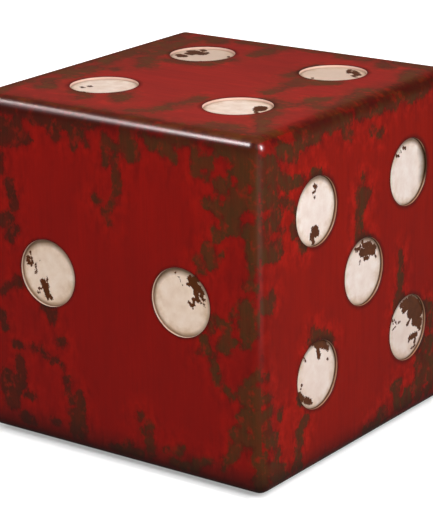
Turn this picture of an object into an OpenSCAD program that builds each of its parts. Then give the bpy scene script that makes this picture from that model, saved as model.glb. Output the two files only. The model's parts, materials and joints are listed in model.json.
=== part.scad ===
// Die-shaped side table: a hollow wooden cube with rounded edges and sunk round pips.
// The top and the four sides are mitred and held by loose tongues, with posts and battens
// glued inside, and the base drops in between the sides and is screwed to the battens.
// Millimetres, +Z up, origin on the floor under the middle of the cube.

/* [Cube] */
// Length of every edge of the cube, without the glides under it
side = 508; // [440:1:600]
// Thickness of the panels
panel_t = 19; // [19:0.5:25]
// Radius of the round-over along every outer edge
edge_r = 19; // [8:0.5:19]
// Gap all round the drop-in base
base_gap = 0.5; // [0.2:0.1:1]

/* [Pips] */
// Diameter of the recess that holds a pip
pip_d = 99; // [70:1:108]
// Distance between rows of pips
pip_pitch = 119; // [112:1:124]
// Distance of the pips above the middle of a side, and behind the middle of the top
pip_lift = 6; // [0:1:10]
// Depth of a pip's face below the face of the panel
pip_depth = 3; // [2:0.5:7]
// Thickness of the disc at the bottom of a recess
disc_t = 4; // [3.5:0.5:5]
// Thickness of a disc at its edge, where its rounded rim ends
disc_edge_t = 3; // [1:0.25:3]
// Width of a disc's rounded rim
disc_round = 8; // [4:1:16]
// Gap all round a disc
disc_gap = 0.4; // [0.2:0.1:1]
// Width of the eased edge round a recess
rim_ease = 1; // [0.5:0.25:2]

/* [Frame] */
// Width of the square posts in the corners
post_w = 32; // [24:1:40]
// Width of the square battens along the top and the base
batten_w = 25; // [20:1:30]
// Width of a loose tongue across its mitre
tongue_w = 12; // [8:0.5:14]
// Thickness of a loose tongue
tongue_t = 4; // [3:0.5:5]

/* [Fixings] */
// Diameter of the countersunk screws
screw_d = 4; // [3:0.5:5]
// Length of the countersunk screws
screw_l = 35; // [32:1:35]
// Diameter of a glide
glide_d = 28; // [20:1:32]
// Thickness of a glide
glide_h = 4; // [3:0.5:6]
// Length of the nail that holds a glide, above the glide
nail_l = 14; // [10:1:16]

/* [Hidden] */
$fn = 96;
half = side / 2;
base_z = glide_h;
top_z = base_z + side;
mid_z = base_z + half;
inner = half - panel_t;
room_h = side - 2 * panel_t;
recess_depth = pip_depth + disc_t;
disc_r = pip_d / 2 - disc_gap;
rim_steps = 6;
batten_l = 2 * (inner - post_w) - 1;
tongue_inset = 12;
tongue_stop = 60;
glue_gap = 0.1;
head_d = 2 * screw_d;
head_h = (head_d - screw_d) / 2;
point_l = 1.5 * screw_d;
slot_w = 0.3 * screw_d;
slot_depth = 0.75 * head_h;
side_screw_x = 150;
end_screw_x = 90;
nail_d = 3;
nail_head_d = 10;
nail_head_h = 1;
glide_round = 1.5;
glide_at = inner - post_w / 2;
past = 1;

// The faces of the cube: name, number of pips, and turn about the vertical for the four sides
SIDES = ["front", "right", "back", "left"];
FACES = concat(SIDES, ["top", "base"]);
NUMBERS = [2, 5, 1, 6, 4, 3];
NUMBER_NAMES = ["one", "two", "three", "four", "five", "six"];
CORNERS = ["front_right", "back_right", "back_left", "front_left"];
ROWS = ["lower", "middle", "upper"];
COLUMNS = ["left", "centre", "right"];

// Places of the pips of each number, in columns and rows from the middle of the face
FOUR = [[-1, -1], [1, -1], [-1, 1], [1, 1]];
PATTERNS = [
  [[0, 0]],
  [[-1, 0], [1, 0]],
  [[-1, 1], [0, 0], [1, -1]],
  FOUR,
  concat(FOUR, [[0, 0]]),
  concat(FOUR, [[-1, 0], [1, 0]])
];

function pips_of(face) = PATTERNS[NUMBERS[face] - 1];
function pip_name(face, place) =
  str("pip_", NUMBER_NAMES[NUMBERS[face] - 1], "_", ROWS[place[1] + 1], "_", COLUMNS[place[0] + 1]);

// Puts x to the right, y up and z out of the middle of a face's pips, as seen from outside
module on_face(face) {
  if (face < 4) on_side(face) translate([0, -half, mid_z + pip_lift]) rotate([90, 0, 0]) children();
  if (face == 4) translate([0, pip_lift, top_z]) children();
  if (face == 5) translate([0, 0, base_z]) rotate([180, 0, 0]) children();
}

module on_side(k) rotate([0, 0, 90 * k]) children();

// Round-over of the cube

module rounded_square() {
  flat = side - 2 * edge_r;
  square([flat, side], center = true);
  square([side, flat], center = true);
  for (x = [-1, 1], y = [-1, 1])
    translate([x * flat / 2, y * flat / 2]) circle(edge_r);
}

module rounded_prism() linear_extrude(side, center = true) rounded_square();

// What a ball of the edge's radius leaves outside it in one corner of the cube
module corner_waste() {
  difference() {
    translate([-past, -past, -past]) cube(edge_r + past);
    translate([edge_r, edge_r, edge_r]) sphere(edge_r);
  }
}

module rounded_cube() {
  translate([0, 0, mid_z]) difference() {
    intersection() {
      rounded_prism();
      rotate([90, 0, 0]) rounded_prism();
      rotate([0, 90, 0]) rounded_prism();
    }
    for (k = [0:3], flip = [0, 1])
      rotate([180 * flip, 0, 90 * k]) translate([-half, -half, -half]) corner_waste();
  }
}

// Cuts in a panel

module pip_recess() {
  translate([0, 0, -recess_depth]) cylinder(d = pip_d, h = recess_depth + past);
  translate([0, 0, -rim_ease])
    cylinder(d1 = pip_d, d2 = pip_d + 2 * (rim_ease + past), h = rim_ease + past);
}

module pip_recesses(face) {
  on_face(face) for (place = pips_of(face)) translate(place * pip_pitch) pip_recess();
}

// Panels

// A side panel seen along its length: straight at the base, mitred at the top
module side_section() {
  polygon([[-half, base_z], [-half, top_z], [-inner, top_z - panel_t], [-inner, base_z]]);
}

// A panel seen from its mitred end: wide outside, narrow inside
module mitred_section() {
  polygon([[-half, -half], [half, -half], [inner, -inner], [-inner, -inner]]);
}

module side_blank() {
  intersection() {
    rotate([90, 0, 90]) linear_extrude(side, center = true) side_section();
    linear_extrude(top_z + past) mitred_section();
  }
}

module top_blank() {
  translate([0, 0, mid_z]) intersection() {
    rotate([-90, 0, 0]) linear_extrude(side, center = true) mitred_section();
    rotate([-90, 0, 90]) linear_extrude(side, center = true) mitred_section();
  }
}

module side_panel(k) {
  color("firebrick") difference() {
    intersection() {
      on_side(k) side_blank();
      rounded_cube();
    }
    pip_recesses(k);
    on_side(k) {
      corner_tongue(glue_gap);
      on_side(-1) corner_tongue(glue_gap);
      top_tongue(glue_gap);
      side_screw_forms();
    }
  }
}

module top_panel() {
  color("firebrick") difference() {
    intersection() {
      top_blank();
      rounded_cube();
    }
    pip_recesses(4);
    for (k = [0:3]) on_side(k) {
      top_tongue(glue_gap);
      top_screw_forms();
    }
  }
}

module base_panel() {
  width = 2 * (inner - base_gap);
  color("firebrick") difference() {
    translate([-width / 2, -width / 2, base_z]) cube([width, width, panel_t]);
    pip_recesses(5);
    for (k = [0:3]) on_side(k) {
      base_screw_forms();
      nail_hole();
    }
  }
}

// A flat disc whose rim falls away in a curve
module pip_disc() {
  color("antiquewhite") translate([0, 0, -recess_depth]) rotate_extrude() polygon(concat(
    [[0, disc_t], [0, 0], [disc_r, 0]],
    [for (k = [rim_steps:-1:0]) let (way = k / rim_steps)
      [disc_r - disc_round * (1 - way), disc_t - (disc_t - disc_edge_t) * way * way]]
  ));
}

// Posts, battens and tongues

module corner_post() {
  color("burlywood") translate([inner - post_w, -inner, base_z + panel_t]) cube([post_w, post_w, room_h]);
}

module batten_bar() translate([-batten_l / 2, -inner, 0]) cube([batten_l, batten_w, batten_w]);

module top_batten() {
  color("burlywood") difference() {
    translate([0, 0, top_z - panel_t - batten_w]) batten_bar();
    side_screw_forms();
    top_screw_forms();
  }
}

module base_batten() {
  color("burlywood") difference() {
    translate([0, 0, base_z + panel_t]) batten_bar();
    side_screw_forms();
    base_screw_forms();
  }
}

// A tongue lies square across the mitre and stops short of the corners
module tongue_bar(length, gap) {
  cube([length + 2 * gap, tongue_w + 2 * gap, tongue_t + 2 * gap], center = true);
}

module top_tongue(gap = 0) {
  color("tan") translate([0, -half + tongue_inset, top_z - tongue_inset])
    rotate([45, 0, 0]) tongue_bar(side - 2 * tongue_stop, gap);
}

module corner_tongue(gap = 0) {
  color("tan") translate([half - tongue_inset, -half + tongue_inset, mid_z])
    rotate([0, 90, -45]) tongue_bar(side - 2 * tongue_stop, gap);
}

// Screws, glides and nails

// The outside of a countersunk screw, with its head at z = 0 and its point down
module screw_form() {
  rotate_extrude() polygon([
    [0, 0], [head_d / 2, 0], [screw_d / 2, -head_h],
    [screw_d / 2, point_l - screw_l], [0, -screw_l]
  ]);
}

module screw() {
  difference() {
    screw_form();
    for (turn = [0, 90]) rotate([0, 0, turn])
      cube([0.55 * head_d, slot_w, 2 * slot_depth], center = true);
  }
}

// Through both battens of a side into its panel
module side_screw_places() {
  for (x = [-1, 1], z = [base_z + panel_t + batten_w / 2, top_z - panel_t - batten_w / 2])
    translate([x * side_screw_x, -inner + batten_w, z]) rotate([-90, 0, 0]) children();
}

// Up through a top batten into the top
module top_screw_places() {
  for (x = [-1, 1])
    translate([x * end_screw_x, -inner + batten_w / 2, top_z - panel_t - batten_w])
      rotate([180, 0, 0]) children();
}

// Up through the base into a base batten
module base_screw_places() {
  for (x = [-1, 1])
    translate([x * end_screw_x, -inner + batten_w / 2, base_z]) rotate([180, 0, 0]) children();
}

module side_screw_forms() side_screw_places() screw_form();
module top_screw_forms() top_screw_places() screw_form();
module base_screw_forms() base_screw_places() screw_form();

module side_screws() color("silver") for (k = [0:3]) on_side(k) side_screw_places() screw();
module top_screws() color("silver") for (k = [0:3]) on_side(k) top_screw_places() screw();
module base_screws() color("silver") for (k = [0:3]) on_side(k) base_screw_places() screw();

// The nail's head is moulded into the glide
module nail_form() {
  translate([0, 0, glide_h - nail_head_h]) cylinder(d = nail_head_d, h = nail_head_h);
  translate([0, 0, glide_h - past]) cylinder(d = nail_d, h = nail_l + past);
}

module nail_hole() translate([glide_at, -glide_at, 0]) nail_form();
module glide_nails() color("silver") for (k = [0:3]) on_side(k) nail_hole();

module glide() {
  color("ivory") translate([glide_at, -glide_at, 0]) difference() {
    rotate_extrude() polygon([
      [0, 0], [glide_d / 2 - glide_round, 0], [glide_d / 2, glide_round], [glide_d / 2, glide_h], [0, glide_h]
    ]);
    nail_form();
  }
}

for (k = [0:3]) side_panel(k);
top_panel();
base_panel();
for (face = [0:5], place = pips_of(face)) on_face(face) translate(place * pip_pitch) pip_disc();
for (k = [0:3]) on_side(k) corner_post();
for (k = [0:3]) on_side(k) top_batten();
for (k = [0:3]) on_side(k) base_batten();
for (k = [0:3]) on_side(k) top_tongue();
for (k = [0:3]) on_side(k) corner_tongue();
for (k = [0:3]) on_side(k) glide();
glide_nails();
side_screws();
top_screws();
base_screws();
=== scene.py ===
import json
import math
import random

import bmesh
import bpy
import numpy as np
from mathutils import Matrix, Vector, noise


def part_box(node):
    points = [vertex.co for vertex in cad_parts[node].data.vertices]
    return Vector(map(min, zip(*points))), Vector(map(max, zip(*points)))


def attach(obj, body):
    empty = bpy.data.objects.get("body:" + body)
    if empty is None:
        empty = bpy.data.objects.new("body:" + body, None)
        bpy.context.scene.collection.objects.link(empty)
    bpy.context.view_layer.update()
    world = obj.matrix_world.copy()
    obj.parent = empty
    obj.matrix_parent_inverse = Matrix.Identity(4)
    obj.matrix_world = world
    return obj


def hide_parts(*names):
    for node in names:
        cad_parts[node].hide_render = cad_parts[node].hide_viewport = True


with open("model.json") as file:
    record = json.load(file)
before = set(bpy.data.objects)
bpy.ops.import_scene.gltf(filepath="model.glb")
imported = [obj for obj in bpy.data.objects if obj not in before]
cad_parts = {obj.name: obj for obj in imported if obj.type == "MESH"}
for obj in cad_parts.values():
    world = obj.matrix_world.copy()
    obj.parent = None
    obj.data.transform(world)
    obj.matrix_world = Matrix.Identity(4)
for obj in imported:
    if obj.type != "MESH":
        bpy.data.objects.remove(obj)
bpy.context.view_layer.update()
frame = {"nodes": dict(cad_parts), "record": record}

# Sizes in metres, from the frame where it has them
MM = 0.001
BASE_LOW, BASE_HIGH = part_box("base_panel")
TOP_LOW, TOP_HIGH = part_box("top_panel")
PANEL_T = BASE_HIGH.z - BASE_LOW.z
SIDE = TOP_HIGH.z - BASE_LOW.z
HALF = SIDE / 2
INNER = HALF - PANEL_T
CENTRE = Vector((0, 0, BASE_LOW.z + HALF))
EDGE_R = 19 * MM
RECESS_GAP = 0.4 * MM
RIM_EASE = 1 * MM
PIP_LOW, PIP_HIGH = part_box("pip_four_lower_left")
DISC_R = (PIP_HIGH.x - PIP_LOW.x) / 2
DISC_T = PIP_HIGH.z - PIP_LOW.z
DISC_EDGE_T = 3 * MM
DISC_ROUND = 8 * MM
RECESS_R = DISC_R + RECESS_GAP
RECESS_DEPTH = TOP_HIGH.z - PIP_LOW.z

# How finely the meshes are cut, so that the worn places on them keep their outline
EDGE_SEGMENTS = 15
BASE_EDGE_SEGMENTS = 3
RIM_STEPS = 4
CIRCLE_CUTS = 31
CELL_MARGIN = 4 * MM
CUT_SPACING = 6 * MM
CUT_SHIFT = 0.37
DISC_SPOKES = 160
DISC_RINGS = 40
CUT_SLACK = 1e-7
WELD = 1e-6
SHARP_EDGE = math.radians(32)

# In mm: the worn line along every edge, the size and reach of the bends in crooked strokes, and how much
# further a painted shadow of the rim reaches into an upright pip at its top. The seed gives the same bends
# each time
EDGE_WEAR = 1
STRAY_SIZE = 34
STRAY_REACH = 9
RIM_SHADOW_REACH = 6
STRAY_SEED = 7

# The faces of the cube: which way is right, up and out as seen from outside, and the number on it
FACES = {
    "front": ((1, 0, 0), (0, 0, 1), (0, -1, 0), "two"),
    "right": ((0, 1, 0), (0, 0, 1), (1, 0, 0), "five"),
    "back": ((-1, 0, 0), (0, 0, 1), (0, 1, 0), "one"),
    "left": ((0, -1, 0), (0, 0, 1), (-1, 0, 0), "six"),
    "top": ((1, 0, 0), (0, 1, 0), (0, 0, 1), "four"),
    "base": ((1, 0, 0), (0, -1, 0), (0, 0, -1), "three"),
}

# Brush strokes of wear, in mm from the middle of the face: from x, y to x, y, and half the width.
# The lists of what is kept are places inside them where the red is whole
FRONT_WORN = [
    (-200, 240, -150, 238, 8), (-163, 236, -168, 210, 9), (-200, 216, -178, 210, 11),
    (-198, 192, -150, 202, 11), (-135, 234, -112, 232, 11), (-112, 230, -92, 212, 9),
    (-95, 236, -20, 240, 8), (-95, 232, -70, 232, 10), (-66, 234, -62, 204, 8),
    (-40, 213, -38, 206, 5), (-6, 224, -5, 186, 8), (12, 196, 14, 148, 7), (9, 136, -4, 118, 6),
    (-27, 132, -22, 126, 7), (-14, 116, -2, 102, 6), (4, 212, 48, 206, 9), (34, 236, 40, 205, 13),
    (60, 238, 74, 220, 7), (80, 226, 104, 224, 12), (110, 222, 113, 206, 6),
    (148, 236, 149, 198, 8), (160, 216, 168, 212, 12), (152, 194, 170, 190, 5),
    (175, 232, 235, 234, 10), (190, 185, 200, 165, 12), (225, 215, 235, 170, 26),
    (246, 240, 246, 110, 12), (215, 160, 205, 120, 16), (170, 156, 190, 148, 11),
    (232, 125, 245, 80, 12), (178, 122, 181, 106, 5), (168, 92, 172, 72, 12), (148, 74, 152, 70, 7),
    (160, 58, 150, 53, 5), (190, 87, 190, 86, 4), (240, 95, 245, 60, 8), (232, 50, 245, 55, 8),
    (228, 20, 232, -5, 12), (222, -5, 230, -20, 9), (225, -22, 244, -18, 7), (206, 8, 208, 0, 6),
    (198, -18, 190, -40, 8), (195, -50, 186, -46, 8), (205, -35, 212, -33, 6),
    (222, -38, 232, -35, 5), (172, -8, 172, -25, 7), (158, -40, 170, -60, 8),
    (148, -60, 152, -56, 5), (172, -66, 182, -96, 7), (192, -104, 205, -115, 6),
    (247, -75, 225, -95, 7), (226, -108, 250, -112, 16), (232, -140, 250, -150, 20),
    (212, -168, 240, -172, 14), (205, -190, 215, -182, 10), (192, -212, 206, -198, 9),
    (188, -220, 195, -214, 7), (248, -130, 248, -240, 12), (42, -175, 42, -181, 7),
    (48, -200, 60, -188, 7), (58, -205, 60, -230, 8), (85, -219, 90, -217, 5),
    (110, -216, 116, -210, 7), (135, -226, 165, -219, 6), (-10, -236, 40, -236, 7),
    (100, -234, 140, -236, 7), (20, -225, 25, -222, 6), (-92, -150, -90, -168, 7),
    (-84, -178, -84, -184, 6), (-68, -172, -66, -228, 10), (-80, -200, -78, -230, 10),
    (-120, -220, -112, -222, 6), (-175, -226, -160, -228, 9), (-205, -172, -198, -206, 16),
    (-180, -140, -176, -176, 10), (-172, -188, -158, -190, 6), (-185, -180, -190, -190, 8),
    (-186, -112, -174, -114, 7), (-153, -114, -151, -117, 6), (-135, -113, -132, -120, 6),
    (-118, -128, -106, -123, 5), (-98, -130, -97, -134, 4), (-104, -97, -94, -94, 7),
    (-125, -46, -112, -50, 8), (-118, -58, -115, -66, 7), (-210, -72, -206, -92, 8),
    (-208, -40, -202, -30, 6), (-198, -27, -184, -22, 6), (-206, 70, -188, 76, 10),
    (-185, 55, -176, 64, 8), (-190, 48, -186, 44, 7), (-184, 128, -178, 100, 10),
    (-198, 168, -198, 145, 6), (-178, -14, -170, -18, 8), (176, -6, 192, -14, 7),
    (108, 238, 138, 236, 9), (190, 106, 222, 110, 4), (-54, 230, -48, 218, 7),
    (245, 30, 250, -5, 6),
]
FRONT_KEPT = [
    (181, 209, 205, 215, 6), (212, 195, 214, 193, 6), (195, 168, 192, 163, 5),
    (233, 149, 238, 147, 7), (238, 188, 239, 187, 4), (163, 228, 172, 228, 6),
    (198, 104, 222, 110, 8), (246, 60, 250, 75, 5), (250, 25, 252, 35, 9),
    (205, -222, 232, -218, 9), (225, -200, 230, -198, 6),
]
RIGHT_WORN = [
    (-205, 230, -175, 218, 11), (-168, 226, -110, 230, 7), (-160, 240, -135, 240, 8),
    (-122, 243, -85, 240, 9), (-72, 241, -40, 237, 9), (-55, 232, -45, 218, 6),
    (-40, 222, -35, 212, 4), (-14, 240, 44, 236, 9), (58, 240, 82, 234, 8), (92, 242, 170, 244, 9),
    (120, 234, 150, 236, 7), (188, 240, 245, 238, 9), (-250, 225, -249, 190, 7),
    (-250, 145, -250, 96, 6), (-235, 215, -218, 196, 15), (-230, 158, -226, 128, 15),
    (-240, 186, -236, 166, 8), (-205, 190, -185, 183, 9), (-236, 94, -214, 92, 13),
    (-188, 180, -155, 176, 7), (-128, 177, -112, 176, 7), (-198, 160, -194, 156, 6),
    (-175, 116, -173, 108, 8), (-158, 85, -152, 80, 6), (-212, 174, -207, 138, 4),
    (-202, 118, -224, 117, 5), (-182, 150, -170, 136, 4), (-4, 147, 0, 143, 3),
    (-12, 122, 8, 120, 10), (-10, 105, 5, 112, 9), (-14, 95, -12, 58, 8), (-18, 62, 10, 54, 5),
    (22, 208, 21, 206, 6), (38, 202, 44, 199, 5), (98, 8, 100, -20, 5), (99, -25, 96, -50, 7),
    (92, -55, 100, -62, 8), (85, -66, 80, -90, 4), (168, -95, 185, -102, 9),
    (180, -115, 185, -130, 6), (150, -168, 160, -175, 8), (165, -185, 172, -210, 12),
    (180, -175, 190, -200, 10), (205, -150, 215, -180, 10), (80, -195, 95, -193, 7),
    (155, -150, 186, -154, 9), (141, -178, 148, -190, 4), (88, -212, 95, -228, 9),
    (110, -225, 150, -215, 13), (150, -200, 150, -230, 10), (175, -225, 185, -215, 10),
    (215, -225, 235, -220, 9), (55, -228, 45, -225, 9), (5, -236, 15, -236, 7),
    (30, -238, 60, -238, 6), (-150, -172, -168, -182, 7), (-166, -190, -163, -200, 8),
    (-172, -210, -165, -225, 6), (-178, -232, -165, -235, 6), (-245, -110, -235, -112, 5),
    (-235, -130, -245, -135, 7), (-240, -155, -235, -175, 8), (-222, -170, -225, -185, 5),
    (-216, -195, -217, -200, 6), (-210, -140, -212, -148, 5), (-240, -215, -215, -225, 12),
    (-248, -200, -245, -240, 8), (-225, -235, -200, -238, 6), (-245, 22, -232, 20, 9),
    (-230, 33, -226, 28, 6), (-240, -80, -248, -80, 4), (-132, -48, -118, -58, 7),
    (-110, -58, -85, -72, 6), (-140, -58, -128, -62, 6), (-165, -130, -160, -142, 4),
    (240, 180, 244, 120, 9), (244, 20, 246, -60, 7), (225, 60, 232, 90, 6),
    (238, -140, 244, -190, 10),
]
RIGHT_KEPT = [
    (-240, 150, -235, 150, 8), (-228, 118, -205, 112, 7), (-225, 242, -212, 242, 7),
    (133, -222, 137, -228, 4), (160, -222, 175, -220, 5), (-251, 235, -249, 245, 6),
    (-200, 206, -170, 192, 8),
]
TOP_WORN = [
    (-238, 225, -240, -230, 8), (-225, 190, -215, 60, 16), (-190, 195, -186, 85, 10),
    (-180, 224, -150, 208, 12), (-175, 55, -140, 12, 8), (-225, 30, -208, 0, 11),
    (-205, -40, -196, -95, 11), (-178, -26, -162, -28, 4), (-230, -60, -215, -90, 10),
    (-205, -130, -182, -168, 10), (-235, -150, -225, -240, 10), (-140, 62, -72, 70, 8),
    (-110, 226, -75, 224, 7), (-46, 232, -42, 164, 9), (-68, 98, -56, 110, 6),
    (72, 226, 118, 222, 8), (148, 222, 168, 200, 9), (170, 232, 250, 222, 12),
    (218, 186, 238, 140, 12), (238, 108, 250, 112, 7), (106, 62, 112, 30, 11),
    (110, 18, 111, -20, 7), (72, 150, 76, 70, 4), (132, 60, 158, 72, 7), (226, 52, 234, 10, 16),
    (242, 92, 244, 70, 7), (236, 0, 246, -45, 13), (196, -22, 195, -50, 11),
    (205, -58, 222, -60, 8), (150, -70, 178, -72, 7), (250, -66, 247, -84, 7),
    (134, -62, 160, -72, 7), (166, -88, 174, -98, 4), (184, -118, 187, -156, 8),
    (46, -108, 50, -140, 7), (42, -155, 38, -192, 8), (-62, -150, -44, -174, 10),
    (-104, -176, -100, -188, 8), (-128, -170, -110, -172, 6), (198, -168, 222, -198, 8),
    (150, -224, 190, -222, 13), (232, -222, 246, -208, 8), (8, -212, 22, -206, 6),
    (-30, 232, 60, 234, 5), (-195, -246, -140, -244, 9), (-130, -248, -70, -246, 7),
    (-75, -244, -10, -246, 9), (0, -248, 30, -246, 6), (25, -240, 70, -242, 10),
    (75, -246, 135, -244, 8), (135, -242, 205, -240, 12), (215, -246, 250, -232, 10),
]
TOP_KEPT = [(-175, 170, -168, 175, 8), (-215, -100, -205, -95, 9), (247, -46, 250, -20, 6)]

# Chips in the paint of the pips, in mm from the middle of the pip, in the same form as the worn strokes
CHIPS = {
    "pip_two_middle_left": [
        (-34, 27, -32.5, 18, 1.4), (-39, 15, -38, 8, 3.5), (-37, 17, -31, 16, 1.8),
        (-31, 14, -30, 10, 2.2), (-34, 8, -33, 5, 2), (-24, 10, -24.5, -4, 2),
        (-16, 16, -16, 15, 1), (-4, -8, -4, -16, 1.6), (-12, -16, -6, -22, 5.5),
        (-10, -20, -4, -34, 6), (-20, -27, -14, -26, 1.6), (-25, -34, -18, -33, 1.2),
        (0, -34, 2, -37, 3), (-4, -40, -4, -42, 1.4),
    ],
    "pip_two_middle_right": [
        (15, 37, 27, 37, 4.5), (19, 31, 28, 24, 6.5), (10, 28, 14, 27, 2), (30, 27, 35, 20, 4),
        (33, 14, 37, 10, 3), (24, 20, 27, 8, 4.5), (20, 8, 21, 0, 3), (12, 2, 18, -2, 2.4),
        (31, 6, 34, 5, 1.5), (38, 4, 39, 1, 1.5), (-10, 41, -10, 41, 1.1), (-4, 36, -4, 36, 1.2),
        (-2, 31, -2, 31, 1.2), (2, 26, 2, 26, 1.2), (19, -6, 19, -6, 1.6),
    ],
    "pip_five_middle_centre": [
        (-2, 28, 28, 24, 7), (4, 37, 20, 35, 5), (20, 30, 33, 27, 5), (-14, 35, -6, 38, 3),
        (0, 44, 2, 37, 3), (6, 18, 14, 16, 3.5), (-6, 16, -7, 13, 2), (33, 15, 35, 12, 2),
        (-19, 38, -15, 33, 2), (28, 20, 31, 18, 3),
    ],
    "pip_five_lower_right": [
        (-14, 37, 8, 41, 5), (-6, 30, 13, 33, 7), (13, 37, 31, 26, 8), (14, 20, 36, 15, 12),
        (8, 7, 3, 3, 3), (23, 3, 38, -3, 8), (35, -10, 38, -13, 4), (10, -18, 8, -24, 3),
        (15, -20, 28, -20, 5), (26, -25, 24, -30, 3), (15, -38, 26, -37, 2),
        (-40, 22, -36, 15, 1.5), (-34, 22, -27, 14, 1.3), (-26, 12, -18, 13, 1.5),
        (-38, 6, -30, 9, 0.8),
    ],
    "pip_five_lower_left": [
        (1, 44, 22, 38, 6.5), (4, 36, 8, 23, 4.5), (20, 38, 30, 29, 4), (-8, 47, -2, 44, 3),
        (28, 14, 30, 13, 1.8), (-28, 32, -26, 27, 2.2), (-36, -5, -35, -7, 2),
        (-38, -11, -38, -11, 1.8), (-42, -18, -33, -27, 5), (-27, -30, -15, -37, 5),
        (-12, -39, -10, -40, 2),
    ],
    "pip_five_upper_left": [
        (-2, 36, 2, 33, 3.4), (-6, 27, 0, 28, 2), (-3, 20.5, -1, 19.5, 1.8), (-6, -26, 2, -26, 5),
        (-8, -33, 4, -32, 6), (-6, -39, -5, -45, 3.6), (-12, -38, -9, -39, 2),
    ],
    "pip_five_upper_right": [(-12, 39, -5, 36, 2.2), (-30, 31, -23, 28, 2.2), (-20, 33, -18, 34, 1.4)],
    "pip_four_lower_left": [(-20, -9, -18, -10, 4), (-27, -19, -22, -21, 3), (-8, -42, 9, -42, 2.5)],
    "pip_four_upper_left": [
        (-32, 16, -8, 10, 9), (-25, 33, -18, 28, 5), (-28, 2, -20, 0, 7), (-34, -14, -22, -18, 7),
        (-30, -20, -24, -24, 4), (-8, 22, -3, 18, 3), (36, 17, 40, 12, 2.5),
        (20, -33, 40, -23, 2.5),
    ],
    "pip_four_upper_right": [
        (5, 34, 14, 21, 4), (17, 31, 32, 17, 6), (27, 10, 37, 4, 3), (2, 40, 12, 38, 2),
        (-15, -32, -12, -36, 2),
    ],
    "pip_four_lower_right": [(26, 18, 31, 8, 10), (31, -2, 39, -10, 3)],
}
# Dark stains on a pip, or on the walls of a face's recesses, in the same form
STAINS = {
    "pip_five_upper_right": [(42, 26, 48, 4, 2), (48, 4, 45, -16, 2)],
    "right": [(166, 150, 169, 104, 3)],
}


def hidden_strokes(seed, count):
    """Wear for a face that isn't in view: upright strokes, three in four of them along its edges."""
    draw = random.Random(seed)
    reach = HALF / MM
    strokes = []
    for _ in range(count):
        x = draw.uniform(-reach, reach)
        y = draw.uniform(-reach, reach)
        if draw.random() < 0.75:
            edge = draw.choice((-1, 1)) * (reach - draw.triangular(4, 60, 8))
            x, y = draw.choice(((edge, y), (x, edge)))
        lean = draw.gauss(0, 6)
        length = draw.triangular(4, 60, 14)
        strokes.append((x, y, x + lean, y - length, draw.triangular(4, 15, 6)))
    return strokes


def hidden_chips(seed):
    """Chips for a pip that isn't in view, from its rim inwards."""
    draw = random.Random(seed)
    chips = []
    turn = draw.uniform(0, math.tau)
    for _ in range(draw.randint(3, 8)):
        angle = turn + draw.gauss(0, 0.5)
        radius = draw.triangular(15, 45, 42)
        x = radius * math.cos(angle)
        y = radius * math.sin(angle)
        chips.append((x, y, x + draw.gauss(0, 5), y + draw.gauss(0, 5), draw.triangular(1, 6, 3)))
    return chips


WORN = {
    "front": FRONT_WORN, "right": RIGHT_WORN, "top": TOP_WORN,
    "back": hidden_strokes(11, 70), "left": hidden_strokes(23, 70), "base": hidden_strokes(37, 40),
}
KEPT = {"front": FRONT_KEPT, "right": RIGHT_KEPT, "top": TOP_KEPT}


# Meshes

def face_matrix(face):
    """Turns x right, y up, z out of the cube's middle into the frame's own axes."""
    right, up, out, _ = FACES[face]
    turn = Matrix((right, up, out)).transposed().to_4x4()
    return Matrix.Translation(CENTRE) @ turn


def pips_on(face):
    """Names of a face's pip nodes and their places on it, in metres from the middle of the face."""
    places = {}
    back = face_matrix(face).inverted()
    for name in sorted(frame["nodes"]):
        if name.startswith(f"pip_{FACES[face][3]}_"):
            low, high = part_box(name)
            places[name] = (back @ ((low + high) / 2)).to_2d()
    return places


def whole(bm):
    """Everything in the mesh, as the cutting operator wants it."""
    return bm.verts[:] + bm.edges[:] + bm.faces[:]


def cut_and_cap(bm, point, normal):
    """Cuts away what lies past a plane and closes the cut."""
    bmesh.ops.bisect_plane(
        bm, geom=whole(bm), dist=CUT_SLACK, plane_co=point, plane_no=normal, clear_outer=True)
    rim = [edge for edge in bm.edges if edge.is_boundary]
    bmesh.ops.contextual_create(bm, geom=rim)


def sink_pip(bm, place, level):
    """Sinks a round recess with an eased edge into the flat face at that level."""
    reach = RECESS_R + RIM_EASE
    for axis in (0, 1):
        for way in (-1, 1):
            point = Vector((0, 0, 0))
            normal = Vector((0, 0, 0))
            point[axis] = place[axis] + way * (reach + CELL_MARGIN)
            normal[axis] = 1
            bmesh.ops.bisect_plane(bm, geom=whole(bm), dist=CUT_SLACK, plane_co=point, plane_no=normal)
    middle = Vector((place[0], place[1], level))
    cell = min(bm.faces, key=lambda face: (face.calc_center_median() - middle).length)
    bmesh.ops.inset_individual(bm, faces=[cell], thickness=CELL_MARGIN, use_even_offset=True)
    bmesh.ops.subdivide_edges(bm, edges=cell.edges[:], cuts=CIRCLE_CUTS)
    for vert in cell.verts:
        vert.co = middle + (vert.co - middle).normalized() * reach
    last = (0, 0)
    for step in range(1, RIM_STEPS + 1):
        angle = step / RIM_STEPS * math.pi / 2
        inward = RIM_EASE * math.sin(angle)
        down = RIM_EASE * (1 - math.cos(angle))
        bmesh.ops.inset_individual(bm, faces=[cell], thickness=inward - last[0], depth=last[1] - down)
        last = (inward, down)
    wall = bmesh.ops.extrude_discrete_faces(bm, faces=[cell])["faces"][0]
    bmesh.ops.translate(bm, verts=wall.verts, vec=(0, 0, RIM_EASE - RECESS_DEPTH))


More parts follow.
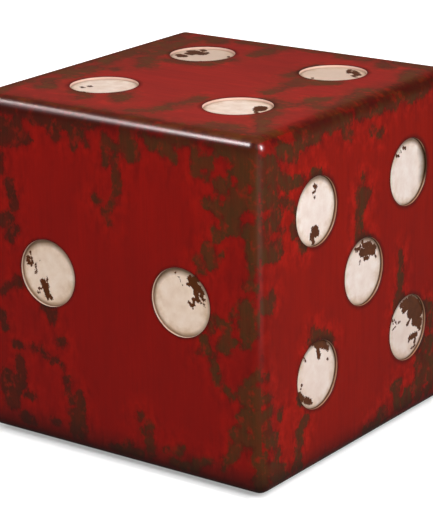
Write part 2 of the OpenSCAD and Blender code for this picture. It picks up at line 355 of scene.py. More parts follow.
def slice_finely(bm):
    """Cuts the outer skin into small squares."""
    steps = int(HALF / CUT_SPACING)
    for axis in (0, 1):
        for step in range(-steps, steps + 1):
            skin = {face for face in bm.faces if face.normal.z > 0.5}
            edges = {edge for face in skin for edge in face.edges}
            verts = {vert for face in skin for vert in face.verts}
            point = Vector((0, 0, 0))
            normal = Vector((0, 0, 0))
            point[axis] = (step + CUT_SHIFT) * CUT_SPACING
            normal[axis] = 1
            geom = list(verts) + list(edges) + list(skin)
            bmesh.ops.bisect_plane(bm, geom=geom, dist=CUT_SLACK, plane_co=point, plane_no=normal)


def finished(bm, name, place, material, node):
    """Puts a mesh where it belongs, and has it stand for its CAD node."""
    bmesh.ops.transform(bm, matrix=place, verts=bm.verts)
    bmesh.ops.remove_doubles(bm, verts=bm.verts, dist=WELD)
    bmesh.ops.recalc_face_normals(bm, faces=bm.faces)
    for face in bm.faces:
        face.smooth = True
    for edge in bm.edges:
        edge.smooth = len(edge.link_faces) == 2 and edge.calc_face_angle() < SHARP_EDGE
    mesh = bpy.data.meshes.new(name)
    bm.to_mesh(mesh)
    bm.free()
    piece = bpy.data.objects.new(name, mesh)
    bpy.context.scene.collection.objects.link(piece)
    mesh.materials.append(material)
    weigh = piece.modifiers.new("even_shading", "WEIGHTED_NORMAL")
    weigh.keep_sharp = True
    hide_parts(node)
    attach(piece, "root")
    return piece


def nearest_stroke(points, strokes):
    """Distance in mm from each point to the nearest stroke's edge, less than nothing inside it."""
    found = np.full(len(points), 1e3)
    for x1, y1, x2, y2, width in strokes:
        start = np.array((x1, y1), float)
        along = np.array((x2 - x1, y2 - y1), float)
        share = np.clip((points - start) @ along / max(along @ along, 1e-9), 0, 1)
        gap = np.linalg.norm(points - start - share[:, None] * along, axis=1) - width
        found = np.minimum(found, gap)
    return found


def strayed(points, size, reach):
    """Points in mm, moved by smooth noise of that size up to about that reach, so that strokes come out
    crooked."""
    noise.seed_set(STRAY_SEED)
    moves = [noise.noise_vector((x / size, y / size, 0))[:2] for x, y in points]
    return points + reach * np.array(moves)


def local_points(mesh, place):
    """The mesh's points in mm, in the axes that a matrix puts into the frame."""
    flat = np.empty(len(mesh.vertices) * 3)
    mesh.vertices.foreach_get("co", flat)
    back = np.array(place.inverted())
    return (flat.reshape(-1, 3) @ back[:3, :3].T + back[:3, 3]) / MM


def keep_field(mesh, name, values):
    """Stores a value for each point of the mesh."""
    mesh.attributes.new(name, "FLOAT", "POINT").data.foreach_set("value", values.astype(np.float32))


def mark_wear(piece, face):
    """Stores how far each point is from worn paint, from the cube's edge, from the nearest pip's rim and
    from a stain, and how deep it lies below the face, all in mm."""
    points = local_points(piece.data, face_matrix(face))
    flat = points[:, :2]
    edge = HALF / MM - np.abs(flat).max(axis=1)
    brushed = flat if face in ("front", "right") else strayed(flat, STRAY_SIZE, STRAY_REACH)
    wear = np.minimum(nearest_stroke(brushed, WORN[face]), edge - EDGE_WEAR)
    if face in KEPT:
        wear = np.maximum(wear, -nearest_stroke(flat, KEPT[face]))
    rims = [(x / MM, y / MM, x / MM, y / MM, RECESS_R / MM) for x, y in pips_on(face).values()]
    keep_field(piece.data, "wear", wear)
    keep_field(piece.data, "edge", edge)
    keep_field(piece.data, "rim", nearest_stroke(flat, rims))
    keep_field(piece.data, "stain", nearest_stroke(flat, STAINS.get(face, [])))
    keep_field(piece.data, "sunk", HALF / MM - points[:, 2])


def mitred_panel(face, material):
    """A panel of the rounded cube: mitred to its neighbours, but square at the foot of a side."""
    bm = bmesh.new()
    bmesh.ops.create_cube(bm, size=SIDE)
    bmesh.ops.bevel(
        bm, geom=bm.edges[:], offset=EDGE_R, segments=EDGE_SEGMENTS, profile=0.5,
        affect="EDGES", material=-1)
    for place in pips_on(face).values():
        sink_pip(bm, place, HALF)
    mitres = [(1, 0, -1), (-1, 0, -1), (0, 1, -1)]
    if face == "top":
        mitres.append((0, -1, -1))
    for normal in mitres:
        cut_and_cap(bm, (0, 0, 0), normal)
    cut_and_cap(bm, (0, 0, INNER), (0, 0, -1))
    slice_finely(bm)
    piece = finished(bm, f"{face}_board", face_matrix(face), material, f"{face}_panel")
    mark_wear(piece, face)


def base_board(material):
    """The drop-in base: a square board with eased edges."""
    bm = bmesh.new()
    width = BASE_HIGH.x - BASE_LOW.x
    bmesh.ops.create_cube(bm, size=1)
    bmesh.ops.scale(bm, vec=(width, width, PANEL_T), verts=bm.verts)
    bmesh.ops.translate(bm, vec=(0, 0, HALF - PANEL_T / 2), verts=bm.verts)
    bmesh.ops.bevel(
        bm, geom=bm.edges[:], offset=RIM_EASE, segments=BASE_EDGE_SEGMENTS, profile=0.5,
        affect="EDGES", material=-1)
    for place in pips_on("base").values():
        sink_pip(bm, place, HALF)
    slice_finely(bm)
    piece = finished(bm, "base_board", face_matrix("base"), material, "base_panel")
    mark_wear(piece, "base")


def pip_disc(node, face, place, material):
    """A turned disc whose rim falls away in a curve to a thin edge, and its chips and stains."""
    profile = []
    for ring in range(DISC_RINGS + 1):
        radius = DISC_R * ring / DISC_RINGS
        way = max(0, radius - DISC_R + DISC_ROUND) / DISC_ROUND
        profile.append((radius, DISC_T - (DISC_T - DISC_EDGE_T) * way ** 2))
    profile += [(DISC_R, 0), (0, 0)]
    bm = bmesh.new()
    line = [bm.verts.new((radius, 0, height)) for radius, height in profile]
    edges = [bm.edges.new(pair) for pair in zip(line, line[1:])]
    bmesh.ops.spin(
        bm, geom=line + edges, axis=(0, 0, 1), cent=(0, 0, 0), angle=math.tau, steps=DISC_SPOKES,
        use_merge=True)
    bmesh.ops.remove_doubles(bm, verts=bm.verts, dist=WELD)
    spot = face_matrix(face) @ Matrix.Translation((place[0], place[1], HALF - RECESS_DEPTH))
    piece = finished(bm, f"{node}_disc", spot, material, node)
    points = local_points(piece.data, spot)[:, :2]
    chips = CHIPS.get(node) or hidden_chips(node)
    keep_field(piece.data, "chip", nearest_stroke(points, chips))
    keep_field(piece.data, "stain", nearest_stroke(points, STAINS.get(node, [])))
    inset = DISC_R / MM - np.linalg.norm(points, axis=1)
    # The dark line at a disc's edge is dirt and painted shade, and reaches further in at the top of an
    # upright pip as a painted shadow of the rim above it
    rim_shadow = RIM_SHADOW_REACH * MM / DISC_R if face not in ("top", "base") else 0
    keep_field(piece.data, "inset", inset)
    keep_field(piece.data, "rim_dirt_and_shadow", inset - rim_shadow * np.maximum(points[:, 1], 0))


# Materials

def colour(text):
    """An sRGB hex colour as linear red, green, blue and alpha."""
    shares = [int(text[i:i + 2], 16) / 255 for i in (0, 2, 4)]
    return [s / 12.92 if s <= 0.04045 else ((s + 0.055) / 1.055) ** 2.4 for s in shares] + [1]


def add(tree, kind, inputs=None, stops=(), **settings):
    """Adds a node with its settings. An input is a value or another node's output, and stops are a ramp's
    places and colours."""
    made = tree.nodes.new(kind)
    for name, value in settings.items():
        setattr(made, name, value)
    for socket, value in (inputs or {}).items():
        if isinstance(value, bpy.types.NodeSocket):
            tree.links.new(value, made.inputs[socket])
        else:
            made.inputs[socket].default_value = value
    for index, (place, text) in enumerate(stops):
        if index > 1:
            made.color_ramp.elements.new(place)
        made.color_ramp.elements[index].position = place
        made.color_ramp.elements[index].color = colour(text)
    return made


# Sockets by number: a mix's two colours and its result. A map range reads from 1 to 2 and gives from 3 to 4
MIX_A, MIX_B, MIX_OUT = 6, 7, 2

# Tones by face, at their places along a ramp: the red, the undercoat, the walls of the recesses from their
# top down, and the pips. All faces bear the same paints, so the tones that differ between faces are painted
# light and shade, and the walls darken downwards partly as dirt, partly as painted shade. A face that isn't
# listed has those of the front
REDS = {
    "front": [(0.3, "810E07"), (0.5, "860F08"), (0.7, "8A1008")],
    "right": [(0.3, "811003"), (0.5, "861103"), (0.7, "8B1204")],
    "top": [(0.3, "8A120A"), (0.5, "92150B"), (0.7, "99170D")],
}
EARTHS = {
    "front": [(0.2, "42250E"), (0.8, "4D2C12")],
    "top": [(0.2, "522908"), (0.8, "60310C")],
}
WALL_SHADES = {
    "front": [(0.12, "CDB3A0"), (0.4, "A3846F"), (0.7, "6A4C3A")],
    "right": [(0.12, "A88168"), (0.35, "7A543E"), (0.62, "382212")],
    "top": [(0.12, "DDB9A9"), (0.4, "D6B2A1"), (0.7, "B09080")],
}
CREAMS = {
    "front": [(0.3, "DFC4AF"), (0.5, "E5CDB9"), (0.7, "EAD5C4")],
    "right": [(0.3, "E4D0C5"), (0.5, "EAD9CF"), (0.7, "EFE2DA")],
    "top": [(0.3, "DBC1B0"), (0.5, "E2CBBC"), (0.7, "E8D5C8")],
}
# Pips painted darker as shade, towards the foot of the right face and the back of the top: along which
# axis, from where to where in metres, by how much, and with which tone
SHADED_PIPS = {"top": ("Y", -0.06, 0.12, 0.8, "CFB3A0"), "right": ("Z", 0.26, 0.14, 0.22, "D2B29F")}


def new_material(name):
    """A material of that name, its node tree and its shader."""
    material = bpy.data.materials.new(name)
    material.use_nodes = True
    tree = material.node_tree
    return material, tree, tree.nodes["Principled BSDF"]


def stretched_noise(tree, size, detail=3, rough=0.6):
    """Noise whose blobs are about that large along x, y and z, in mm."""
    place = add(tree, "ShaderNodeTexCoord").outputs["Object"]
    scale = [1 / (MM * s) for s in size]
    turned = add(tree, "ShaderNodeMapping", {"Vector": place, "Scale": scale}).outputs["Vector"]
    blobs = {"Vector": turned, "Scale": 1, "Detail": detail, "Roughness": rough}
    return add(tree, "ShaderNodeTexNoise", blobs).outputs["Fac"]


def along_brush(face, across, along):
    """Sizes along x, y and z of a mark that is longer the way that the face was brushed."""
    return (along, across, across) if face in ("top", "base") else (across, across, along)


def worn_red_paint(face):
    """Red enamel brushed over a brown undercoat, rubbed through along the edges, under thin lacquer.
    It shows faint streaks along the brush, ragged brown places, a dark foot that is partly painted shade,
    painted shade down the front, along its top and towards the edges, and a soft gloss."""
    material, tree, shader = new_material(f"worn_red_enamel_{face}")
    field = {name: add(tree, "ShaderNodeAttribute", attribute_name=name).outputs["Fac"]
             for name in ("wear", "edge", "rim", "sunk", "stain")}
    place = add(tree, "ShaderNodeTexCoord").outputs["Object"]
    axes = add(tree, "ShaderNodeSeparateXYZ", {0: place}).outputs
    coarse = stretched_noise(tree, along_brush(face, 18, 24), detail=3)
    fleck = stretched_noise(tree, along_brush(face, 13, 16), detail=2)
    cloud = stretched_noise(tree, along_brush(face, 11, 30), detail=3)
    fine = stretched_noise(tree, along_brush(face, 6, 8), detail=4, rough=0.7)
    streak = stretched_noise(tree, along_brush(face, 3, 90), detail=3)
    broad = stretched_noise(tree, along_brush(face, 35, 120), detail=3)

    # The outline of the worn places, in mm: half the width of its soft border, how far it is drawn in, and
    # how far it wanders and frays
    soft = 8 if face == "top" else 3
    hold = {"top": -2, "front": 1.2, "right": -0.5}.get(face, 0)
    swing, fringe = {"front": (18, 19), "right": (20, 23)}.get(face, (60, 26))
    # The noises lie about these middles, which are taken off again
    coarse_middle = 0.53
    fine_middle = 0.52
    wander = add(tree, "ShaderNodeMath", {0: coarse, 1: swing, 2: hold - coarse_middle * swing},
                 operation="MULTIPLY_ADD").outputs[0]
    fray = add(tree, "ShaderNodeMath", {0: fine, 1: fringe, 2: -fine_middle * fringe},
               operation="MULTIPLY_ADD").outputs[0]
    ragged = add(tree, "ShaderNodeMath", {0: wander, 1: fray}, operation="ADD").outputs[0]
    depth = add(tree, "ShaderNodeMath", {0: field["wear"], 1: ragged}, operation="ADD").outputs[0]
    worn = add(tree, "ShaderNodeMapRange", {"Value": depth, 1: soft, 2: -soft, 3: 0, 4: 1},
               interpolation_type="SMOOTHSTEP").outputs[0]
    least = 0.75 if face == "top" else 0.8
    rubbed = add(tree, "ShaderNodeMapRange", {"Value": cloud, 1: 0.42, 2: 0.62, 3: 1, 4: least}).outputs[0]
    worn = add(tree, "ShaderNodeMath", {0: worn, 1: rubbed}, operation="MULTIPLY").outputs[0]

    # Red, deeper in broad bands, darker down the front as painted shade and towards the edges as glaze and
    # painted shade, brighter where it is rubbed thin, with murky places and dark specks
    reds = REDS.get(face, REDS["front"])
    paint = add(tree, "ShaderNodeValToRGB", {"Fac": streak}, stops=reds).outputs["Color"]
    band = add(tree, "ShaderNodeMapRange", {"Value": broad, 1: 0.35, 2: 0.65, 3: 0, 4: 0.35}).outputs[0]
    coats = [(band, colour("6E0C07"))]
    if face == "front":
        # Painted shade: the front darker towards its foot
        low = add(tree, "ShaderNodeMapRange", {"Value": axes["Z"], 1: 0.4, 2: 0.06, 3: 0, 4: 0.35})
        coats.append((low.outputs[0], colour("6E0C07")))
    bright = {"right": 0.85, "top": 0.8}.get(face, 0.35)
    thin = add(tree, "ShaderNodeMapRange", {"Value": depth, 1: 2, 2: 30, 3: bright, 4: 0}).outputs[0]
    uneven = add(tree, "ShaderNodeMapRange", {"Value": fleck, 1: 0.4, 2: 0.65, 3: 0.1, 4: 1}).outputs[0]
    thin = add(tree, "ShaderNodeMath", {0: thin, 1: uneven}, operation="MULTIPLY").outputs[0]
    coats.append((thin, colour("A8190B")))
    if face == "top":
        dull = "5A2009"
        murk = add(tree, "ShaderNodeMapRange", {"Value": depth, 1: 4, 2: 30, 3: 0.7, 4: 0}).outputs[0]
        cloudy = add(tree, "ShaderNodeMapRange", {"Value": coarse, 1: 0.4, 2: 0.62, 3: 0, 4: 1}).outputs[0]
    else:
        dull = "4A0906"
        murk = add(tree, "ShaderNodeMapRange", {"Value": depth, 1: 4, 2: 40, 3: 0.5, 4: 0.06}).outputs[0]
        cloudy = add(tree, "ShaderNodeMapRange", {"Value": cloud, 1: 0.48, 2: 0.7, 3: 0, 4: 1}).outputs[0]
    murk = add(tree, "ShaderNodeMath", {0: murk, 1: cloudy}, operation="MULTIPLY").outputs[0]
    # Darker towards the cube's edges: partly glaze, partly painted shade
    edge_glaze_and_shade = add(tree, "ShaderNodeMapRange", {"Value": field["edge"], 1: 0, 2: 60, 3: 0.4, 4: 0}).outputs[0]
    speck = add(tree, "ShaderNodeMapRange", {"Value": fine, 1: 0.68, 2: 0.76, 3: 0, 4: 0.5}).outputs[0]
    coats += [(murk, colour(dull)), (edge_glaze_and_shade, colour("4E0C08")), (speck, colour("3A0E08"))]

    # Brown undercoat, redder in clouds or towards the left of the front, with red left in flecks, and dark
    # along its border
    earths = EARTHS.get(face, EARTHS["front"])
    brown = add(tree, "ShaderNodeValToRGB", {"Fac": streak}, stops=earths).outputs["Color"]
    if face == "front":
        ruddy = add(tree, "ShaderNodeMapRange", {"Value": axes["X"], 1: -0.12, 2: 0.12, 3: 0.9, 4: 0.1})
    else:
        ruddy = add(tree, "ShaderNodeMapRange", {"Value": cloud, 1: 0.4, 2: 0.65, 3: 0.05, 4: 0.6})
    left = add(tree, "ShaderNodeMapRange", {"Value": fleck, 1: 0.56, 2: 0.78, 3: 0, 4: 0.9})
    for share, tone in ((ruddy, "40160B"), (left, "8C160C")):
        brown = add(tree, "ShaderNodeMix", {0: share.outputs[0], MIX_A: brown, MIX_B: colour(tone)},
                    data_type="RGBA").outputs[MIX_OUT]
    apart = add(tree, "ShaderNodeMath", {0: depth}, operation="ABSOLUTE").outputs[0]
    border = add(tree, "ShaderNodeMapRange", {"Value": apart, 1: 0.5, 2: 5, 3: 0.45, 4: 0}).outputs[0]
    patchy = add(tree, "ShaderNodeMapRange", {"Value": coarse, 1: 0.4, 2: 0.6, 3: 0, 4: 1}).outputs[0]
    border = add(tree, "ShaderNodeMath", {0: border, 1: patchy}, operation="MULTIPLY").outputs[0]
    coats += [(worn, brown), (border, colour("2E0C08"))]

    # Darker in patches along the rounded edges of the top: partly dirt, partly painted shade
    if face == "top":
        inward = field["edge"]
    else:
        below = add(tree, "ShaderNodeMath", {0: TOP_HIGH.z, 1: axes["Z"]}, operation="SUBTRACT").outputs[0]
        inward = add(tree, "ShaderNodeMath", {0: below, 1: 1 / MM}, operation="MULTIPLY").outputs[0]
    rounded = add(tree, "ShaderNodeMapRange", {"Value": inward, 1: 22, 2: 9, 3: 0, 4: 1}).outputs[0]
    gather = stretched_noise(tree, (26, 26, 26), detail=3)
    gather = add(tree, "ShaderNodeMapRange", {"Value": gather, 1: 0.4, 2: 0.58, 3: 0.2, 4: 0.8}).outputs[0]
    rounded = add(tree, "ShaderNodeMath", {0: rounded, 1: gather}, operation="MULTIPLY").outputs[0]
    coats.append((rounded, colour("3A0907")))
    if face == "top":
        # A film of dust lies on it, and none on its rounded edges
        dust = add(tree, "ShaderNodeMapRange", {"Value": field["edge"], 1: 6, 2: 30, 3: 0, 4: 0.022})
        coats.append((dust.outputs[0], colour("E0D8CC")))

    # Darker along the foot, where the cube stands: dirt, and painted shade where it meets the floor. Along
    # the top of the front, a lighter band of painted shade
    if face not in ("top", "base"):
        start = BASE_LOW.z + (46 if face == "front" else 36) * MM
        end = BASE_LOW.z + 5 * MM
        foot = add(tree, "ShaderNodeMapRange", {"Value": axes["Z"], 1: start, 2: end, 3: 0, 4: 0.92})
        coats.append((foot.outputs[0], colour("170C08")))
    # Painted shade below the gloss on the front's top edge
    if face == "front":
        start = TOP_HIGH.z - 30 * MM
        end = TOP_HIGH.z - 13 * MM
        crown_shade = add(tree, "ShaderNodeMapRange", {"Value": axes["Z"], 1: start, 2: end, 3: 0, 4: 0.38})
        coats.append((crown_shade.outputs[0], colour("340806")))

    # A dark line round each pip, and the cream wall of its recess, darker towards the bottom: partly dirt,
    # partly painted shade
    shaky = add(tree, "ShaderNodeMath", {0: fine, 1: 6, 2: -3}, operation="MULTIPLY_ADD").outputs[0]
    near = add(tree, "ShaderNodeMath", {0: field["rim"], 1: shaky}, operation="ADD").outputs[0]
    around = 5 if face == "front" else 8
    line = add(tree, "ShaderNodeMapRange", {"Value": near, 1: around, 2: 0.5, 3: 0, 4: 0.7}).outputs[0]
    sunk = add(tree, "ShaderNodeMath", {0: field["sunk"], 1: 0.15}, operation="MULTIPLY").outputs[0]
    shades = WALL_SHADES.get(face, WALL_SHADES["front"])
    wall = add(tree, "ShaderNodeValToRGB", {"Fac": sunk}, stops=shades).outputs["Color"]
    bare = add(tree, "ShaderNodeMapRange", {"Value": field["stain"], 1: 5, 2: -2, 3: 0, 4: 0.9}).outputs[0]
    wall = add(tree, "ShaderNodeMix", {0: bare, MIX_A: wall, MIX_B: colour("2A1A08")},
               data_type="RGBA").outputs[MIX_OUT]
    inside = add(tree, "ShaderNodeMapRange", {"Value": field["rim"], 1: 0.4, 2: 0.1, 3: 0, 4: 1}).outputs[0]
    coats += [(line, colour("1E0C08")), (inside, wall)]
    for share, tone in coats:
        paint = add(tree, "ShaderNodeMix", {0: share, MIX_A: paint, MIX_B: tone},
                    data_type="RGBA").outputs[MIX_OUT]

    # The brush leaves faint ridges, and worn places lie lower
    step = add(tree, "ShaderNodeMath", {0: worn, 1: -0.6}, operation="MULTIPLY").outputs[0]
    relief = add(tree, "ShaderNodeMath", {0: streak, 1: step}, operation="ADD").outputs[0]
    bump = add(tree, "ShaderNodeBump", {"Strength": 0.25, "Distance": 0.15 * MM, "Height": relief})
    tree.links.new(paint, shader.inputs["Base Color"])
    tree.links.new(bump.outputs["Normal"], shader.inputs["Normal"])
    shader.inputs["Roughness"].default_value = 0.4
    shader.inputs["Specular IOR Level"].default_value = 0
    shader.inputs["Coat Weight"].default_value = 0.08
    shader.inputs["Coat Roughness"].default_value = 0.28
    return material


def chipped_cream_paint(face):
    """Cream paint rubbed with a tan glaze at the rim, which is also painted shade there, chipped to the
    brown undercoat.
    It shows faint mottling, a dark line at the edge that is partly dirt and partly painted shade, and crisp
    ragged chips, and has yellowed unevenly; on some faces its pips are darker by place as painted shade."""
    material, tree, shader = new_material(f"chipped_cream_enamel_{face}")
    field = {name: add(tree, "ShaderNodeAttribute", attribute_name=name).outputs["Fac"]
             for name in ("chip", "inset", "stain", "rim_dirt_and_shadow")}
    mottle = stretched_noise(tree, (16, 16, 16), detail=4)
    fine = stretched_noise(tree, (3.2, 3.2, 3.2), detail=3, rough=0.7)
    creams = CREAMS.get(face, CREAMS["front"])
    paint = add(tree, "ShaderNodeValToRGB", {"Fac": mottle}, stops=creams).outputs["Color"]
    coats = []
    # Painted shade: some pips are darker by their place on the face
    if face in SHADED_PIPS:
        axis, start, end, most, tone = SHADED_PIPS[face]
        place = add(tree, "ShaderNodeTexCoord").outputs["Object"]
        spot = add(tree, "ShaderNodeSeparateXYZ", {0: place}).outputs[axis]
        darker = add(tree, "ShaderNodeMapRange", {"Value": spot, 1: start, 2: end, 3: 0, 4: most})
        coats.append((darker.outputs[0], colour(tone)))

    # Glaze in patches near the rim, partly painted shade; stains; and a dark line at the edge, partly dirt
    # and partly painted shade, reaching further in under the upper rim as a painted shadow
    drift = add(tree, "ShaderNodeMath", {0: mottle, 1: 30, 2: -15}, operation="MULTIPLY_ADD").outputs[0]
    inward = add(tree, "ShaderNodeMath", {0: field["inset"], 1: drift}, operation="ADD").outputs[0]
    glaze = add(tree, "ShaderNodeMapRange", {"Value": inward, 1: 14, 2: 0, 3: 0, 4: 0.6}).outputs[0]
    stain = add(tree, "ShaderNodeMapRange", {"Value": field["stain"], 1: 15, 2: -1, 3: 0, 4: 0.85})
    reach = 4 if face == "right" else 6
    line = add(tree, "ShaderNodeMapRange", {"Value": field["rim_dirt_and_shadow"], 1: reach, 2: -2, 3: 0, 4: 0.75})
    coats.append((glaze, colour("C6A482")))
    coats.append((stain.outputs[0], colour("5A3E1C")))
    coats.append((line.outputs[0], colour("5C3C26")))

    # Chips down to the undercoat, ragged by a few millimetres
    fray = add(tree, "ShaderNodeMath", {0: fine, 1: 10, 2: -5}, operation="MULTIPLY_ADD").outputs[0]
    depth = add(tree, "ShaderNodeMath", {0: field["chip"], 1: fray}, operation="ADD").outputs[0]
    chipped = add(tree, "ShaderNodeMapRange", {"Value": depth, 1: 0.5, 2: -0.5, 3: 0, 4: 1}).outputs[0]
    earths = [(0.3, "48220A"), (0.7, "582C0F")]
    brown = add(tree, "ShaderNodeValToRGB", {"Fac": mottle}, stops=earths).outputs["Color"]
    coats.append((chipped, brown))
    for share, tone in coats:
        paint = add(tree, "ShaderNodeMix", {0: share, MIX_A: paint, MIX_B: tone},
                    data_type="RGBA").outputs[MIX_OUT]

    # Chips lie lower than the paint
    step = add(tree, "ShaderNodeMath", {0: chipped, 1: -2}, operation="MULTIPLY").outputs[0]
    relief = add(tree, "ShaderNodeMath", {0: fine, 1: step}, operation="ADD").outputs[0]
    bump = add(tree, "ShaderNodeBump", {"Strength": 0.3, "Distance": 0.15 * MM, "Height": relief})
    tree.links.new(paint, shader.inputs["Base Color"])
    tree.links.new(bump.outputs["Normal"], shader.inputs["Normal"])
    shader.inputs["Roughness"].default_value = 0.45
    shader.inputs["Specular IOR Level"].default_value = 0.03
    return material


def planed_pine():
    """Planed softwood without a finish: pale, with fine darker grain."""
    material, tree, shader = new_material("planed_pine")
    grain = stretched_noise(tree, (3, 3, 3), detail=4)
    wide = stretched_noise(tree, (30, 30, 30), detail=2)
    tone = add(tree, "ShaderNodeMath", {0: grain, 1: wide}, operation="ADD").outputs[0]
    browns = [(0.75, "C79B63"), (1, "D9B680"), (1, "B78650")]
    wood = add(tree, "ShaderNodeValToRGB", {"Fac": tone}, stops=browns).outputs["Color"]
    tree.links.new(wood, shader.inputs["Base Color"])
    shader.inputs["Roughness"].default_value = 0.7
    return material


def sawn_plywood():
    """Birch plywood sawn into strips: thin pale and brown plies."""
    material, tree, shader = new_material("sawn_birch_plywood")
    plies = stretched_noise(tree, (1.3, 1.3, 1.3), detail=2)
    browns = [(0.35, "A97F4F"), (0.6, "CDAA78")]
    wood = add(tree, "ShaderNodeValToRGB", {"Fac": plies}, stops=browns).outputs["Color"]
    tree.links.new(wood, shader.inputs["Base Color"])
    shader.inputs["Roughness"].default_value = 0.75
    return material


def zinc_plate():
    """Bright zinc-plated steel, a little cloudy."""
    material, tree, shader = new_material("zinc_plated_steel")
    cloud = stretched_noise(tree, (2, 2, 2), detail=3)
    greys = [(0.3, "A9A9A3"), (0.7, "C4C3BC")]
    tone = add(tree, "ShaderNodeValToRGB", {"Fac": cloud}, stops=greys).outputs["Color"]
    rough = add(tree, "ShaderNodeMapRange", {"Value": cloud, 1: 0.3, 2: 0.7, 3: 0.28, 4: 0.45}).outputs[0]
    tree.links.new(tone, shader.inputs["Base Color"])
    tree.links.new(rough, shader.inputs["Roughness"])
    shader.inputs["Metallic"].default_value = 1
    return material


def moulded_nylon():
    """Off-white moulded nylon, scuffed where it slides."""
    material, tree, shader = new_material("moulded_nylon")
    scuff = stretched_noise(tree, (1.5, 6, 1.5), detail=4)
    whites = [(0.35, "C9C2B2"), (0.6, "DDD8CB")]
    tone = add(tree, "ShaderNodeValToRGB", {"Fac": scuff}, stops=whites).outputs["Color"]
    tree.links.new(tone, shader.inputs["Base Color"])
    shader.inputs["Roughness"].default_value = 0.55
    return material


# The object

for face in FACES:
    paint = worn_red_paint(face)
    if face == "base":
        base_board(paint)
    else:
        mitred_panel(face, paint)
for face in FACES:
    cream_paint = chipped_cream_paint(face)
    for node, place in pips_on(face).items():
        pip_disc(node, face, place, cream_paint)

FINISHES = {
    "pine": planed_pine(), "plywood": sawn_plywood(),
    "zinc_steel": zinc_plate(), "nylon": moulded_nylon(),
}
for part in frame["record"]["subparts"]:
    finish = FINISHES.get(part["material_slot"])
    if finish:
        mesh = frame["nodes"][part["node"]].data
        mesh.materials.clear()
        mesh.materials.append(finish)


# Floor, light and camera

FLOOR_SIZE = 20
# The white of the floor is held back under the cube and comes up to nearly full a little way out from it: a
# painted shadow round the cube's foot
SHADE_REACH = 30 * MM
UNDER_CUBE = 0.32
CLEAR_BESIDE = 0.97
CLEAR_AHEAD = 0.95


def white_floor():
    """A matt pale floor that the camera sees as white, with the object's shadow on it, deepened round the
    cube by a painted shadow.
    """
    material, tree, shader = new_material("matt_white_floor")
    shader.inputs["Base Color"].default_value = colour("CCCCCC")
    shader.inputs["Roughness"].default_value = 1
    shader.inputs["Specular IOR Level"].default_value = 0
    path = add(tree, "ShaderNodeLightPath")
    seen = add(tree, "ShaderNodeMath", {0: path.outputs["Is Camera Ray"], 1: path.outputs["Is Glossy Ray"]},
               operation="MAXIMUM").outputs[0]
    seen = add(tree, "ShaderNodeMath", {0: seen, 1: path.outputs["Is Transmission Ray"]},
               operation="MAXIMUM").outputs[0]
    place = add(tree, "ShaderNodeTexCoord").outputs["Object"]
    spread = add(tree, "ShaderNodeVectorMath", {0: place}, operation="ABSOLUTE").outputs["Vector"]
    axes = add(tree, "ShaderNodeSeparateXYZ", {0: spread}).outputs
    # Painted shadow: the glow is lower close to the cube
    beside = add(tree, "ShaderNodeMapRange", {
        "Value": axes["X"], 1: HALF - SHADE_REACH, 2: HALF + SHADE_REACH,
        3: UNDER_CUBE, 4: CLEAR_BESIDE}).outputs[0]
    ahead = add(tree, "ShaderNodeMapRange", {
        "Value": axes["Y"], 1: HALF, 2: HALF + SHADE_REACH, 3: UNDER_CUBE, 4: CLEAR_AHEAD}).outputs[0]
    glow = add(tree, "ShaderNodeMath", {0: beside, 1: ahead}, operation="MAXIMUM").outputs[0]
    strength = add(tree, "ShaderNodeMath", {0: seen, 1: glow}, operation="MULTIPLY").outputs[0]
    tree.links.new(strength, shader.inputs["Emission Strength"])
    shader.inputs["Emission Color"].default_value = (1, 1, 1, 1)
    return material


bm = bmesh.new()
bmesh.ops.create_grid(bm, x_segments=1, y_segments=1, size=FLOOR_SIZE / 2)
floor_mesh = bpy.data.meshes.new("floor")
bm.to_mesh(floor_mesh)
bm.free()
floor_mesh.materials.append(white_floor())
floor = bpy.data.objects.new("floor", floor_mesh)
bpy.context.scene.collection.objects.link(floor)


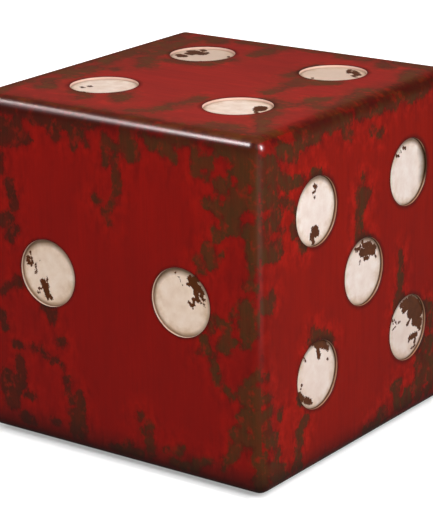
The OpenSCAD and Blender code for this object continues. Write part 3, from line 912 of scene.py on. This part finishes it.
def softbox(name, way, distance, width, height, watts):
    """A soft light that way from the middle of the cube, facing it."""
    lamp = bpy.data.lights.new(name, "AREA")
    lamp.shape = "RECTANGLE"
    lamp.size = width
    lamp.size_y = height
    lamp.energy = watts
    holder = bpy.data.objects.new(name, lamp)
    towards = Vector(way).normalized()
    holder.location = CENTRE + towards * distance
    holder.rotation_euler = towards.to_track_quat("Z", "Y").to_euler()
    bpy.context.scene.collection.objects.link(holder)
    return holder


softbox("soft_left", (-0.35, -0.70, 0.75), 2.4, 1.2, 0.5, 17)
softbox("soft_right", (0.75, -0.42, 0.70), 2.3, 1.4, 1.4, 47)
softbox("soft_above", (0.05, 0.0, 1.0), 2.6, 2.0, 2.0, 10)
# The strips and the cards light nothing but the gloss on the edges
gloss = [
    softbox("strip_left", (-1.30, -1.00, 1.67), 2.34, 1.4, 0.35, 190),
    softbox("strip_far_end", (-1.68, -0.57, 1.67), 2.44, 0.4, 0.35, 80),
    softbox("strip_near_end", (-0.86, -1.50, 1.67), 2.40, 0.45, 0.35, 330),
    softbox("card_right", (0.84, -0.10, 0.45), 2.4, 0.3, 0.9, 900),
    softbox("card_low", (0.767, -0.554, -0.084), 0.95, 0.45, 0.34, 2.6),
]
for lamp in gloss:
    lamp.visible_diffuse = False

world = bpy.data.worlds.new("studio")
world.use_nodes = True
world.node_tree.nodes["Background"].inputs["Color"].default_value = (1, 1, 1, 1)
world.node_tree.nodes["Background"].inputs["Strength"].default_value = 0.22
bpy.context.scene.world = world
bpy.context.scene.view_settings.view_transform = "Standard"

# The camera stands about 6.8 cube widths away, to the right of the front and a little above
CAMERA_AT = Vector((1.951, -2.636, 1.284))
HEADING, PITCH, ROLL = (math.radians(a) for a in (36.604, -17.658, -1.066))
LENS = 161.5
camera = bpy.data.objects.new("camera", bpy.data.cameras.new("camera"))
turn = Matrix.Rotation(HEADING, 4, "Z") @ Matrix.Rotation(math.pi / 2 + PITCH, 4, "X")
turn = turn @ Matrix.Rotation(ROLL, 4, "Z")
camera.matrix_world = Matrix.Translation(CAMERA_AT) @ turn
camera.data.sensor_width = 36
camera.data.lens = LENS
bpy.context.scene.collection.objects.link(camera)
bpy.context.scene.camera = camera
